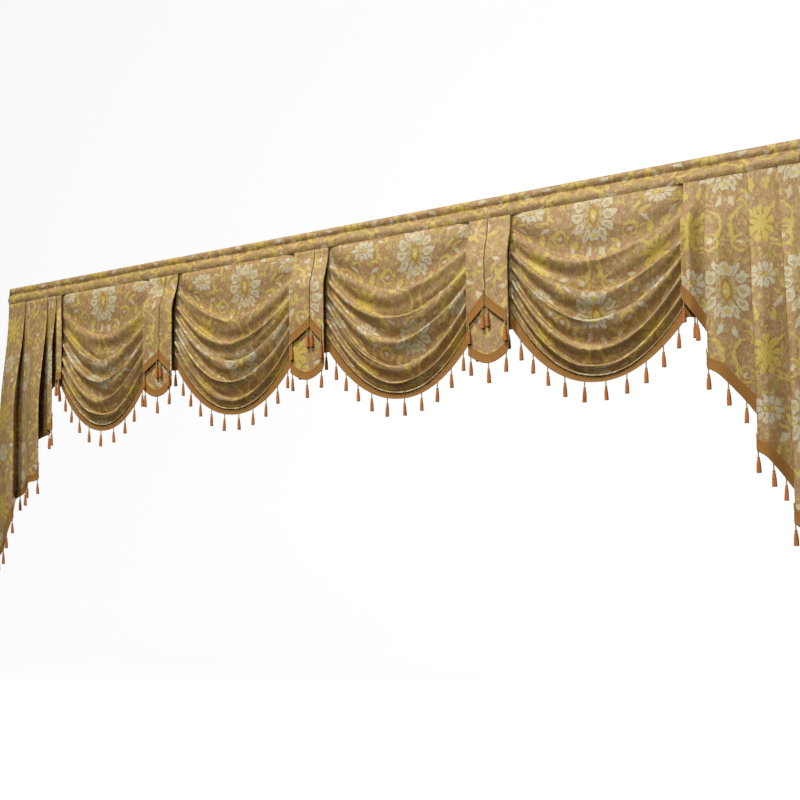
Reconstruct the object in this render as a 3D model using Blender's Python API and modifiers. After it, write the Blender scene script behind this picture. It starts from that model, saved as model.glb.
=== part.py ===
# Swag valance: a stiffened heading with four draped swags, three pleated tabs, two stepped
# side cascades, and gimp braid with hanging tassels along every hem.
# Metres, +Z up, front towards -Y. The origin is the middle of the heading's top back edge.

import bpy
import bmesh
import math
import numpy as np

# Driving dimensions, metres
TOTAL_WIDTH = 3.00
CASCADE_WIDTH = 0.300
TAB_WIDTH = 0.137
FIRST_SWAG_WIDTH = 0.453
HEADING_HEIGHT = 0.066
CLOTH = 0.002
SEAM_GAP = 0.0005
BRAID_GAP = 0.0006
GIMP_WIDTH = 0.028
GIMP_THICKNESS = 0.003
GIMP_OVERHANG = 0.004
TASSEL_SPACING = 0.062
END_MARGIN = 0.010
ROOT_DEPTH = 0.0035
BAND_HEIGHT = 0.029          # flat cloth above a hem, which carries the braid
STEEPEST_BAND = 2.2
SEAM_STRIP = 0.012           # cloth below the seam that hangs upright
LEAN_HEIGHT = 0.200          # tabs and cascades lean forward over this height
CLEARANCE = 0.0045
TASSEL_LENGTH = 0.060
CORD_RADIUS = 0.0020
TASSEL_NECK = 0.022
TASSEL_RADIUS = 0.0055
HIDDEN_SWAG_END = 0.030

CLOTH_TOP = -HEADING_HEIGHT - SEAM_GAP
OTHER_SWAG_WIDTH = (TOTAL_WIDTH - 2 * CASCADE_WIDTH - 3 * TAB_WIDTH - FIRST_SWAG_WIDTH) / 3

# Heading section: depth in front of the flat back, at a height below the top edge
HEADING_SECTION = [
    {"down": 0.000, "depth": 0.009},
    {"down": 0.010, "depth": 0.014},
    {"down": 0.021, "depth": 0.012},
    {"down": 0.028, "depth": 0.007},
    {"down": 0.034, "depth": 0.013},
    {"down": 0.047, "depth": 0.020},
    {"down": 0.059, "depth": 0.0205},
    {"down": 0.066, "depth": 0.019},
]

# Fold crests of each swag, top to bottom: heights at the left end, the lowest point and the
# right end, how far the crest stands forward there, and the depth of the valley above it
SWAG_FOLDS = {
    1: [
        {"left": -0.140, "low": -0.262, "right": -0.150, "crest": 0.030, "valley": 0.011},
        {"left": -0.190, "low": -0.355, "right": -0.208, "crest": 0.037, "valley": 0.016},
        {"left": -0.236, "low": -0.430, "right": -0.262, "crest": 0.041, "valley": 0.018},
        {"left": -0.285, "low": -0.503, "right": -0.310, "crest": 0.042, "valley": 0.019},
        {"left": -0.330, "low": -0.560, "right": -0.362, "crest": 0.040, "valley": 0.020},
        {"left": -0.372, "low": -0.598, "right": -0.402, "crest": 0.036, "valley": 0.023},
    ],
    2: [
        {"left": -0.130, "low": -0.268, "right": -0.142, "crest": 0.031, "valley": 0.011},
        {"left": -0.186, "low": -0.352, "right": -0.200, "crest": 0.038, "valley": 0.015},
        {"left": -0.226, "low": -0.418, "right": -0.250, "crest": 0.041, "valley": 0.019},
        {"left": -0.272, "low": -0.490, "right": -0.300, "crest": 0.043, "valley": 0.018},
        {"left": -0.318, "low": -0.548, "right": -0.350, "crest": 0.040, "valley": 0.021},
        {"left": -0.362, "low": -0.583, "right": -0.396, "crest": 0.036, "valley": 0.024},
    ],
    3: [
        {"left": -0.128, "low": -0.255, "right": -0.140, "crest": 0.032, "valley": 0.010},
        {"left": -0.178, "low": -0.340, "right": -0.196, "crest": 0.038, "valley": 0.015},
        {"left": -0.222, "low": -0.415, "right": -0.252, "crest": 0.042, "valley": 0.020},
        {"left": -0.262, "low": -0.500, "right": -0.304, "crest": 0.043, "valley": 0.018},
        {"left": -0.312, "low": -0.546, "right": -0.356, "crest": 0.041, "valley": 0.022},
        {"left": -0.362, "low": -0.580, "right": -0.400, "crest": 0.036, "valley": 0.025},
    ],
    4: [
        {"left": -0.126, "low": -0.247, "right": -0.142, "crest": 0.031, "valley": 0.011},
        {"left": -0.180, "low": -0.345, "right": -0.215, "crest": 0.039, "valley": 0.016},
        {"left": -0.222, "low": -0.425, "right": -0.258, "crest": 0.042, "valley": 0.018},
        {"left": -0.262, "low": -0.508, "right": -0.306, "crest": 0.044, "valley": 0.019},
        {"left": -0.308, "low": -0.556, "right": -0.358, "crest": 0.040, "valley": 0.021},
        {"left": -0.360, "low": -0.584, "right": -0.404, "crest": 0.036, "valley": 0.025},
    ],
}
# Hem of each swag: heights, depth in the middle, and how far its lowest point is off centre
SWAG_HEMS = {
    1: {"left": -0.425, "low": -0.617, "right": -0.445, "depth": 0.016, "shift": 0.010},
    2: {"left": -0.415, "low": -0.600, "right": -0.440, "depth": 0.016, "shift": 0.004},
    3: {"left": -0.415, "low": -0.596, "right": -0.442, "depth": 0.016, "shift": 0.008},
    4: {"left": -0.412, "low": -0.599, "right": -0.440, "depth": 0.016, "shift": -0.006},
}
SAG_POWER = {"top": 1.70, "hem": 2.10}
VALLEY_SHARE = 0.84          # where a valley lies between the crest above and the crest below
FACE_SHARE = 0.42            # where the face below a crest is half way back to the valley
PANEL_TOP = -0.085
PANEL_LOW = -0.110
FOLD_ENDS = [                # depths of the folds at the swag's ends
    {"valley": 0.004, "crest": 0.010},
    {"valley": 0.005, "crest": 0.017},
    {"valley": 0.006, "crest": 0.023},
    {"valley": 0.008, "crest": 0.026},
    {"valley": 0.011, "crest": 0.029},
    {"valley": 0.016, "crest": 0.031},
]
TOP_DEPTH = {"mid": 0.017, "end": 0.007}
PANEL_BELLY = {"mid": 0.019, "end": 0.007}
HEM_END_DEPTH = 0.006
SWAG_ACROSS = [0.0, 0.24, 0.48, 0.70, 0.87, 1.0]    # columns of a half, from its middle to its edge

# Tabs: hem heights at the front slit, the side folds and the middle of the back layer
TABS = {
    1: {"slit": 0.012, "front": -0.375, "side": -0.425, "under": -0.480, "back": -0.512},
    2: {"slit": 0.016, "front": -0.332, "side": -0.385, "under": -0.475, "back": -0.507},
    3: {"slit": -0.006, "front": -0.338, "side": -0.398, "under": -0.482, "back": -0.514},
}
TAB_LAYERS = {"back": 0.037, "front": 0.051, "back_top": 0.0105, "front_top": 0.0175}
SLIT_WIDTH = 0.003

# Cascade pleats from the inner edge outwards. out: distance from the inner seam end,
# depth: distance in front of the back plane, hem: height of the lower edge there
CASCADES = {
    "left": [
        {"turn": "a_edge", "out": -0.024, "depth": 0.042, "hem": -0.400},
        {"turn": "a_face", "out": 0.018, "depth": 0.042, "hem": -0.422},
        {"turn": "a_back", "out": 0.074, "depth": 0.012, "hem": -0.458},
        {"turn": "b_fold", "out": 0.008, "depth": 0.056, "hem": -0.588},
        {"turn": "b_face", "out": 0.066, "depth": 0.050, "hem": -0.612},
        {"turn": "b_back", "out": 0.146, "depth": 0.012, "hem": -0.648},
        {"turn": "c_fold", "out": 0.062, "depth": 0.072, "hem": -0.780},
        {"turn": "c_face", "out": 0.140, "depth": 0.060, "hem": -0.814},
        {"turn": "c_back", "out": 0.248, "depth": 0.014, "hem": -0.864},
        {"turn": "d_fold", "out": 0.206, "depth": 0.068, "hem": -0.930},
        {"turn": "d_face", "out": 0.262, "depth": 0.066, "hem": -1.066},
        {"turn": "d_edge", "out": 0.316, "depth": 0.044, "hem": -1.090},
    ],
    "right": [
        {"turn": "a_edge", "out": -0.010, "depth": 0.038, "hem": -0.388},
        {"turn": "a_face", "out": 0.028, "depth": 0.040, "hem": -0.455},
        {"turn": "a_back", "out": 0.084, "depth": 0.012, "hem": -0.532},
        {"turn": "b_fold", "out": 0.055, "depth": 0.056, "hem": -0.582},
        {"turn": "b_face", "out": 0.128, "depth": 0.058, "hem": -0.655},
        {"turn": "b_back", "out": 0.198, "depth": 0.014, "hem": -0.775},
        {"turn": "c_fold", "out": 0.174, "depth": 0.062, "hem": -0.812},
        {"turn": "c_face", "out": 0.226, "depth": 0.062, "hem": -0.872},
        {"turn": "c_back", "out": 0.280, "depth": 0.016, "hem": -0.965},
        {"turn": "d_fold", "out": 0.258, "depth": 0.060, "hem": -1.000},
        {"turn": "d_face", "out": 0.290, "depth": 0.060, "hem": -1.050},
        {"turn": "d_edge", "out": 0.318, "depth": 0.036, "hem": -1.090},
    ],
}
CASCADE_TOP_DEPTH = {"face": 0.0180, "back": 0.0090}
STEPS_A_TURN = 3
BRAIDED_STEPS = {            # how many steps of each pleat's face the braid covers
    "left": {"a": 3, "b": 4, "c": 5, "d": 6},
    "right": {"a": 5, "b": 5, "c": 5, "d": 6},
}

COLOURS = {
    "brocade": {"colour": (0.42, 0.27, 0.12), "rough": 0.50},
    "gimp": {"colour": (0.55, 0.28, 0.07), "rough": 0.60},
}


def clear_scene():
    for thing in list(bpy.data.objects):
        bpy.data.objects.remove(thing, do_unlink=True)


def new_collection(name):
    collection = bpy.data.collections.new(name)
    bpy.context.scene.collection.children.link(collection)
    return collection


def make_material(name, colour, rough):
    material = bpy.data.materials.new(name)
    material.use_nodes = True
    shader = material.node_tree.nodes["Principled BSDF"]
    shader.inputs["Base Color"].default_value = (*colour, 1.0)
    shader.inputs["Roughness"].default_value = rough
    shader.inputs["Metallic"].default_value = 0.0
    return material


def smooth_step(value):
    value = np.clip(value, 0.0, 1.0)
    return value * value * (3 - 2 * value)


def through(values, at):
    """A smooth curve through a row of values, read at fractional positions (Catmull-Rom)."""
    values = np.asarray(values, dtype=float)
    at = np.clip(np.asarray(at, dtype=float), 0, len(values) - 1)
    start = np.minimum(at.astype(int), len(values) - 2)
    part = at - start
    before = values[np.maximum(start - 1, 0)]
    first, second = values[start], values[start + 1]
    after = values[np.minimum(start + 2, len(values) - 1)]
    return first + 0.5 * part * (
        second - before
        + part * (2 * before - 5 * first + 4 * second - after
                  + part * (3 * (first - second) + after - before)))


def sheet_mesh(name, points):
    """Quads over a grid of points, rows from the top down and columns from left to right."""
    rows, columns = points.shape[:2]
    faces = []
    for row in range(rows - 1):
        for column in range(columns - 1):
            corner = row * columns + column
            faces.append((corner, corner + columns, corner + columns + 1, corner + 1))
    mesh = bpy.data.meshes.new(name)
    mesh.from_pydata(points.reshape(-1, 3).tolist(), [], faces)
    mesh.validate()
    return mesh


def add_sheet(name, points, thickness, outwards, material, collection):
    """A sheet whose front is the grid: Solidify puts the cloth behind it, or a braid before it."""
    piece = bpy.data.objects.new(name, sheet_mesh(name, points))
    collection.objects.link(piece)
    piece.data.materials.append(material)
    piece.data.shade_smooth()
    solid = piece.modifiers.new("thickness", "SOLIDIFY")
    solid.thickness = thickness
    solid.offset = 1.0 if outwards else -1.0
    solid.use_even_offset = False
    return piece


def grid_normals(points):
    """Unit normals of a grid, pointing to the front of the cloth."""
    down = np.gradient(points, axis=0)
    across = np.gradient(points, axis=1)
    normal = np.cross(down, across)
    return normal / np.linalg.norm(normal, axis=2, keepdims=True)


def lean(z):
    """How far cloth has leaned forward at a height: 0 down to the seam strip's end, then to 1."""
    return smooth_step((CLOTH_TOP - SEAM_STRIP - z) / LEAN_HEIGHT)


def height_at(hem, down):
    """Height at a share of the way to the hem, from the seam strip's end; down below 0 is the seam."""
    start = CLOTH_TOP - SEAM_STRIP
    return np.where(down < 0, CLOTH_TOP, start + (hem - start) * down)


def add_band_row(points):
    """One more row above the hem, raised upright so that a braid keeps its width on a slope."""
    hem = points[-1]
    run = np.gradient(hem, axis=0)
    slope = run[:, 2] / np.hypot(run[:, 0], run[:, 1])
    band = hem.copy()
    band[:, 2] += BAND_HEIGHT * np.minimum(np.sqrt(1 + slope ** 2), STEEPEST_BAND)
    return np.concatenate([points[:-1], band[None], hem[None]])


def braid_strip(last_rows, lift):
    """Upper and lower edge of a braid in front of the band, hanging a little below the hem."""
    band, hem = last_rows
    normals = grid_normals(last_rows)
    rise = (band - hem) / BAND_HEIGHT
    upper = hem + rise * (GIMP_WIDTH - GIMP_OVERHANG)
    lower = hem - rise * GIMP_OVERHANG
    return np.stack([upper, lower]) + normals * lift


# Heading

def add_heading(material, collection):
    """The section swept along the width, a little uneven, with a flat back and underside."""
    stations = np.linspace(-TOTAL_WIDTH / 2, TOTAL_WIDTH / 2, 17)
    down = np.array([row["down"] for row in HEADING_SECTION])
    depth = np.array([row["depth"] for row in HEADING_SECTION])
    mesh = bmesh.new()
    rings = []
    for number, x in enumerate(stations):
        puff = 1 + 0.06 * math.sin(2.1 * number) * np.sin(np.pi * down / HEADING_HEIGHT)
        front = [(x, -d, -z) for d, z in zip(depth * puff, down)]
        ring = [(x, 0.0, 0.0)] + front + [(x, 0.0, -HEADING_HEIGHT)]
        rings.append([mesh.verts.new(point) for point in ring])
    for left, right in zip(rings, rings[1:]):
        for number in range(len(left)):
            after = (number + 1) % len(left)
            mesh.faces.new((left[number], left[after], right[after], right[number]))
    mesh.faces.new(list(reversed(rings[0])))
    mesh.faces.new(rings[-1])
    bmesh.ops.recalc_face_normals(mesh, faces=mesh.faces)
    data = bpy.data.meshes.new("heading")
    mesh.to_mesh(data)
    mesh.free()
    piece = bpy.data.objects.new("heading", data)
    piece.data.materials.append(material)
    collection.objects.link(piece)


# Swags

def swag_rows(number):
    """Rows of the swag from the seam down: heights and depths at both ends and the low point."""
    hem = SWAG_HEMS[number]
    sides = ("left", "low", "right")
    rows = [{"left": CLOTH_TOP, "low": CLOTH_TOP, "right": CLOTH_TOP, **TOP_DEPTH}]
    above = {"left": PANEL_TOP, "low": PANEL_LOW, "right": PANEL_TOP, **PANEL_BELLY}
    rows.append(above)
    for fold, ends in zip(SWAG_FOLDS[number], FOLD_ENDS):
        crest = {key: fold[key] for key in sides}
        crest.update(mid=fold["crest"], end=ends["crest"])
        valley = {key: above[key] + VALLEY_SHARE * (crest[key] - above[key]) for key in sides}
        valley.update(mid=fold["valley"], end=ends["valley"])
        half = {key: above[key] + FACE_SHARE * (crest[key] - above[key]) for key in sides}
        half.update(mid=(above["mid"] + valley["mid"]) / 2,
                    end=(above["end"] + valley["end"]) / 2)
        rows += [half, valley, crest]
        above = crest
    rows.append({**{key: hem[key] for key in sides}, "mid": hem["depth"], "end": HEM_END_DEPTH})
    return {key: np.array([row[key] for row in rows])[:, None] for key in rows[0]}


def swag_points(number, left, right):
    """The cloth's front from the seam to the hem, its ends running on behind the tabs.

    Each row sags from its ends as one minus a power of the distance from the low point.
    """
    rows = swag_rows(number)
    half = (right - left) / 2
    reach = 1 + HIDDEN_SWAG_END / half
    positive = SWAG_ACROSS[1:] + [reach]
    across = np.array([-place for place in positive[::-1]] + [0.0] + positive)
    inner = np.clip(across, -1, 1)
    share = np.linspace(0, 1, len(rows["low"]))[:, None]
    bend = inner - SWAG_HEMS[number]["shift"] / half * (1 - inner ** 2) * share
    power = SAG_POWER["top"] + (SAG_POWER["hem"] - SAG_POWER["top"]) * share
    side = rows["left"] + (rows["right"] - rows["left"]) * (inner + 1) / 2
    drop = rows["low"] - (rows["left"] + rows["right"]) / 2
    z = np.minimum(side + drop * (1 - np.abs(bend) ** power), CLOTH_TOP)
    depth = rows["mid"] + (rows["end"] - rows["mid"]) * np.abs(inner) ** 2.5
    behind = TAB_LAYERS["back_top"] + (TAB_LAYERS["back"] - TAB_LAYERS["back_top"]) * lean(z)
    depth = np.where(np.abs(across) >= 1, np.minimum(depth, behind - CLEARANCE), depth)
    x = (left + right) / 2 + half * across + 0 * z
    return add_band_row(np.stack([x, -np.maximum(depth, CLOTH + SEAM_GAP), z], axis=-1))


def tassel_mesh(collection):
    """One tassel turned in four sides: a thin cord, then a skirt that widens to its end."""
    profile = [(0, 0), (CORD_RADIUS, 0), (CORD_RADIUS, -TASSEL_NECK),
               (0.8 * TASSEL_RADIUS, -TASSEL_NECK - 0.006), (TASSEL_RADIUS, -TASSEL_LENGTH),
               (0, -TASSEL_LENGTH)]
    mesh = bpy.data.meshes.new("tassel")
    edges = [(number, number + 1) for number in range(len(profile) - 1)]
    mesh.from_pydata([(r, 0, z) for r, z in profile], edges, [])
    turned = bpy.data.objects.new("tassel_profile", mesh)
    collection.objects.link(turned)
    screw = turned.modifiers.new("turn", "SCREW")
    screw.steps = 4
    screw.render_steps = 4
    screw.use_merge_vertices = True
    screw.merge_threshold = 0.0001
    bpy.context.view_layer.update()
    graph = bpy.context.evaluated_depsgraph_get()
    solid = bpy.data.meshes.new_from_object(turned.evaluated_get(graph))
    bpy.data.objects.remove(turned, do_unlink=True)
    return solid


def read_along(run, row, at):
    return np.array([np.interp(at, run, row[:, axis]) for axis in range(3)])


def add_trim(name, strip, tassel, material, parts, cutters):
    """A braid over a strip of two rows, with tassels evenly spaced and fused to its lower edge."""
    braid = add_sheet(name, strip, GIMP_THICKNESS, True, material, parts)
    lower = strip[-1]
    steps = np.linalg.norm(np.diff(lower, axis=0), axis=1)
    run = np.concatenate([[0], np.cumsum(steps)])
    normals = grid_normals(strip)[-1]
    count = max(2, round((run[-1] - 2 * END_MARGIN) / TASSEL_SPACING) + 1)
    mesh = bmesh.new()
    for number, at in enumerate(np.linspace(END_MARGIN, run[-1] - END_MARGIN, count)):
        facing = read_along(run, normals, at)
        root = read_along(run, lower, at) + facing * GIMP_THICKNESS * 0.5
        root[2] += ROOT_DEPTH
        before = len(mesh.verts)
        mesh.from_mesh(tassel)
        mesh.verts.ensure_lookup_table()
        fresh = mesh.verts[before:]
        longer = 1 + 0.05 * math.sin(1.7 * number)
        for vert in fresh:
            vert.co.z *= longer
            vert.co.x += root[0]
            vert.co.y += root[1]
            vert.co.z += root[2]
    data = bpy.data.meshes.new(name + "_tassels")
    mesh.to_mesh(data)
    mesh.free()
    strands = bpy.data.objects.new(name + "_tassels", data)
    cutters.objects.link(strands)
    strands.hide_render = True
    strands.display_type = "WIRE"
    union = braid.modifiers.new("tassels", "BOOLEAN")
    union.operation = "UNION"
    union.solver = "EXACT"
    union.object = strands
    return braid


def add_swag(number, left, right, tassel, materials, parts, cutters):
    points = swag_points(number, left, right)
    add_sheet(f"swag_{number}", points, CLOTH, False, materials["brocade"], parts)
    strip = braid_strip(points[-2:], BRAID_GAP)
    add_trim(f"swag_trim_{number}", strip, tassel, materials["gimp"], parts, cutters)


# Tabs

def tab_surface(number, centre, along, down):
    """Folded tab: along runs from the front slit round the side fold to the middle of the back.

    along is -1 to 1 over the two halves, with the back's middle at 0. down is 0 to 1 from the
    seam strip's end to the hem, and below 0 for the seam itself.
    """
    tab = TABS[number]
    half = TAB_WIDTH / 2
    side = np.sign(along)
    front = np.abs(along)
    slit = tab["slit"]
    flap = half - side * slit - SLIT_WIDTH / 2
    turn_start, turn_end = 0.42, 0.58
    round_part = smooth_step((front - turn_start) / (turn_end - turn_start))
    swell = np.sin(np.pi * np.clip((front - turn_start) / (turn_end - turn_start), 0, 1))
    back_x = side * half * np.clip(front / turn_start, 0, 1) * 0.94
    flap_share = np.clip((front - turn_end) / (1 - turn_end), 0, 1)
    front_x = side * (half * 0.94 - flap_share * (flap - 0.06 * half))
    local_x = np.where(front < 0.5, back_x, front_x) + side * swell * half * 0.06
    hem = np.where(
        front > 0.5,
        tab["front"] + (tab["side"] - tab["front"]) * np.clip((1 - front) / 0.42, 0, 1),
        tab["back"] + (tab["under"] - tab["back"]) * np.clip(front / 0.42, 0, 1) ** 1.5)
    blend = smooth_step((front - 0.40) / 0.20)
    hem_turn = tab["under"] + (tab["side"] - tab["under"]) * blend
    hem = np.where((front > 0.40) & (front < 0.60), hem_turn, hem)
    z = height_at(hem, down)
    layers = TAB_LAYERS
    back_depth = layers["back_top"] + (layers["back"] - layers["back_top"]) * lean(z)
    front_depth = layers["front_top"] + (layers["front"] - layers["front_top"]) * lean(z)
    depth = back_depth + (front_depth - back_depth) * round_part
    return np.stack([centre + local_x + 0 * z, -depth + 0 * z, z], axis=-1)


def add_tab(number, centre, tassel, materials, parts, cutters):
    half = [1.0, 0.85, 0.70, 0.58, 0.54, 0.50, 0.46, 0.42, 0.28, 0.14]
    along = np.array([-place for place in half] + [0.0] + half[::-1])
    rows = np.array([-1, 0, 0.14, 0.3, 0.5, 1.0])
    points = add_band_row(tab_surface(number, centre, along[None, :], rows[:, None]))
    add_sheet(f"tab_{number}", points[:, ::-1], CLOTH, False, materials["brocade"], parts)
    flap = 4
    back = slice(7, 14)
    trims = {"left": (points[-2:, :flap][:, ::-1], BRAID_GAP),
             "right": (points[-2:, -flap:][:, ::-1], BRAID_GAP),
             "back": (points[-2:, back], CLOTH + BRAID_GAP)}
    for label, (last_rows, lift) in trims.items():
        add_trim(f"tab_trim_{label}_{number}", braid_strip(last_rows, lift), tassel,
                 materials["gimp"], parts, cutters)


# Side cascades

def cascade_surface(side, along, down):
    """Pleated side tail: along counts the rows of its table, down is as for a tab.

    The pleats are pressed flat in the seam and open over the lean height.
    """
    table = CASCADES[side]
    out_low = through([row["out"] for row in table], along)
    depth_low = through([row["depth"] for row in table], along)
    hem = through([row["hem"] for row in table], along)
    width = table[-1]["out"] - table[0]["out"]
    out_top = (out_low - table[0]["out"]) / width * CASCADE_WIDTH
    is_back = [0.0 if "back" not in row["turn"] else 1.0 for row in table]
    back = through(is_back, along)
    fold = through([1.0 if "fold" in row["turn"] else 0.0 for row in table], along)
    top = CASCADE_TOP_DEPTH
    depth_top = top["face"] + (top["back"] - top["face"]) * back - 0.0015 * (1 - fold)
    z = height_at(hem, down)
    open_share = lean(z)
    out = out_top + (out_low - out_top) * open_share
    depth = depth_top + (depth_low - depth_top) * open_share
    seam = TOTAL_WIDTH / 2 - CASCADE_WIDTH
    sign = 1 if side == "right" else -1
    return np.stack([sign * (seam + out), -depth, z], axis=-1)


def add_cascade(side, tassel, materials, parts, cutters):
    last = len(CASCADES[side]) - 1
    along = np.linspace(0, last, last * STEPS_A_TURN + 1)
    rows = np.array([-1, 0, 0.08, 0.18, 0.32, 0.60, 1.0])
    points = add_band_row(cascade_surface(side, along[None, :], rows[:, None]))
    order = slice(None) if side == "right" else slice(None, None, -1)
    add_sheet(f"cascade_{side}", points[:, order], CLOTH, False, materials["brocade"], parts)
    for pleat, letter in enumerate("abcd"):
        first = 3 * pleat * STEPS_A_TURN
        count = BRAIDED_STEPS[side][letter] + 1
        last_rows = points[-2:, first:first + count][:, order]
        add_trim(f"cascade_trim_{side}_{letter}", braid_strip(last_rows, BRAID_GAP), tassel,
                 materials["gimp"], parts, cutters)


def build():
    clear_scene()
    parts = new_collection("swag_valance")
    cutters = new_collection("strands_to_join")
    materials = {name: make_material(name, **look) for name, look in COLOURS.items()}
    tassel = tassel_mesh(cutters)
    add_heading(materials["brocade"], parts)
    x = -TOTAL_WIDTH / 2 + CASCADE_WIDTH
    widths = [FIRST_SWAG_WIDTH] + [OTHER_SWAG_WIDTH] * 3
    for number, width in enumerate(widths, start=1):
        add_swag(number, x, x + width, tassel, materials, parts, cutters)
        x += width
        if number < 4:
            add_tab(number, x + TAB_WIDTH / 2, tassel, materials, parts, cutters)
            x += TAB_WIDTH
    for side in ("left", "right"):
        add_cascade(side, tassel, materials, parts, cutters)


build()
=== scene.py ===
import math
import bpy
import numpy as np
from mathutils import Matrix


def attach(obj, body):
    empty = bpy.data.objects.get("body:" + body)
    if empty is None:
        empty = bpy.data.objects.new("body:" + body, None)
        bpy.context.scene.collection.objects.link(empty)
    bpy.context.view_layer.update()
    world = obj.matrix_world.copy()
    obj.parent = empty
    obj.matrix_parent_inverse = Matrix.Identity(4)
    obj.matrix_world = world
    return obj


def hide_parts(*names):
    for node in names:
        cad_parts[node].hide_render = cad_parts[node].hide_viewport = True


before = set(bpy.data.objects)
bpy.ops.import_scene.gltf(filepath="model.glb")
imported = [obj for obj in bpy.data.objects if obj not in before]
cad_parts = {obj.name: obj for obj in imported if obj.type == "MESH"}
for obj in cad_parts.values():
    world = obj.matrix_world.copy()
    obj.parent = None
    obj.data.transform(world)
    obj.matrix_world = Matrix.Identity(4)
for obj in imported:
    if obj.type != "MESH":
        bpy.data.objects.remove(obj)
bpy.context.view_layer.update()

# Swag valance in brocade with gimp braid and tassels. Every surface is a grid of points from a
# formula. Metres, +Z up, front towards -Y, origin mid-width on the heading's top back edge.

valance = {
    "width": 3.00, "cascade": 0.300, "tab": 0.137, "firstSwag": 0.453,
    "clothTop": -0.0665, "cloth": 0.002, "seamStrip": 0.012, "leanHeight": 0.200,
    "standOff": 0.130, "bandHeight": 0.029, "steepest": 2.2,
}
valance["otherSwag"] = (valance["width"] - 2 * valance["cascade"] - 3 * valance["tab"]
                        - valance["firstSwag"]) / 3
tiny = 1e-12  # the least length that anything is divided by
upright = np.array([0, 0, 1.0])


def smoothStep(value):  # 3t^2 - 2t^3 on t clipped to 0..1
    value = np.clip(value, 0, 1)
    return value * value * (3 - 2 * value)


def between(low, high, share):  # low where share is 0, high where it is 1
    return low + (high - low) * share


def window(share, begin, rise, end, fall):
    # 0 up to begin, 1 further on, 0 again past end; rise and fall say how fast it changes there
    return smoothStep((share - begin) * rise) * (1 - smoothStep((share - end) * fall))


def waves(terms, across, down, number=0):
    # sum of height * sin(a * across + b * down + c * number); a term is height, a, b, c
    return sum(np.sin(across * a + down * b + number * c) * height for height, a, b, c in terms)


def through(values, at):
    # Catmull-Rom curve through a row of values, read at fractional positions
    values = np.asarray(values, dtype=float)
    at = np.clip(np.asarray(at, dtype=float), 0, len(values) - 1)
    start = np.minimum(at.astype(int), len(values) - 2)
    part = at - start
    before = values[np.maximum(start - 1, 0)]
    first, second = values[start], values[start + 1]
    after = values[np.minimum(start + 2, len(values) - 1)]
    if values.ndim > 1:
        part = part.reshape(part.shape + (1,) * (values.ndim - 1))
    bend = 2 * before - 5 * first + 4 * second - after + part * (3 * (first - second) + after - before)
    return first + 0.5 * part * (second - before + part * bend)


def leanAt(z, height):  # 0 down to the seam strip's end, then smoothly to 1
    return smoothStep((valance["clothTop"] - valance["seamStrip"] - z) / height)


def hungRows(hem, count):
    # share of the drop, -1 for the strip in the seam, and heights from the seam down to a hem
    down = np.concatenate([[-1], np.linspace(0, 1, count)])[:, None]
    start = valance["clothTop"] - valance["seamStrip"]
    return down, np.where(down < 0, valance["clothTop"], between(start, hem, down))


def gridNormals(points):  # down crossed with across, so it points to the front
    normal = np.cross(np.gradient(points, axis=0), np.gradient(points, axis=1))
    return normal / np.maximum(np.linalg.norm(normal, axis=2, keepdims=True), tiny)


def arcAlong(points, axis):  # running length of the grid lines along one axis
    steps = np.linalg.norm(np.diff(points, axis=axis), axis=2)
    start = np.zeros((1, points.shape[1]) if axis == 0 else (points.shape[0], 1))
    return np.concatenate([start, np.cumsum(steps, axis=axis)], axis=axis)


def lineRun(line):  # running length of one row of points
    return arcAlong(line[None], 1)[0]


def drapedMap(points):
    # swags: metres of cloth across from the middle, and up, as the mean of each column's own run
    # and the middle's
    middle = points.shape[1] // 2
    across = arcAlong(points, 1)
    down = arcAlong(points, 0)
    return np.stack([across - across[:, middle:middle + 1],
                     -(down + down[:, middle:middle + 1]) / 2], axis=-1)


def hungMap(points, centreColumn):
    # tabs and side pleats: the grain hangs straight, measured across at two thirds of the drop
    row = points[points.shape[0] * 2 // 3].copy()
    row[:, 2] = 0
    across = lineRun(row)
    down = arcAlong(points, 0)
    return np.stack([across - across[centreColumn] + 0 * down, -down], axis=-1)


def gridQuads(i):  # quads between a grid's rows, facing the front
    return np.stack([i[:-1, :-1], i[1:, :-1], i[1:, 1:], i[:-1, 1:]], axis=-1).reshape(-1, 4)


def thickSheet(points, thickness, uv):
    # the grid and its copy, moved back along the normals by the thickness, with a rim between
    rows, columns = points.shape[:2]
    back = points - gridNormals(points) * thickness
    count = rows * columns
    i = np.arange(count).reshape(rows, columns)
    front = gridQuads(i)
    border = np.concatenate([i[0, :-1], i[:-1, -1], i[-1, :0:-1], i[:0:-1, 0]])
    after = np.roll(border, -1)
    rim = np.stack([border, after, after + count, border + count], axis=-1)
    return {
        "verts": np.concatenate([points.reshape(-1, 3), back.reshape(-1, 3)]),
        "faces": np.concatenate([front, front[:, ::-1] + count, rim]),
        "uv": np.tile(uv.reshape(-1, 2), (2, 1)),
        "tone": np.zeros(count * 2),
    }


def joined(parts):
    # one mesh from several, with the vertex numbers moved on
    starts = np.cumsum([0] + [len(part["verts"]) for part in parts[:-1]])
    whole = {key: np.concatenate([part[key] for part in parts]) for key in ("verts", "uv", "tone")}
    whole["faces"] = np.concatenate([part["faces"] + at for part, at in zip(parts, starts)])
    return whole


def placed(name, data):
    item = bpy.data.objects.new(name, data)
    bpy.context.scene.collection.objects.link(item)
    return item


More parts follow.
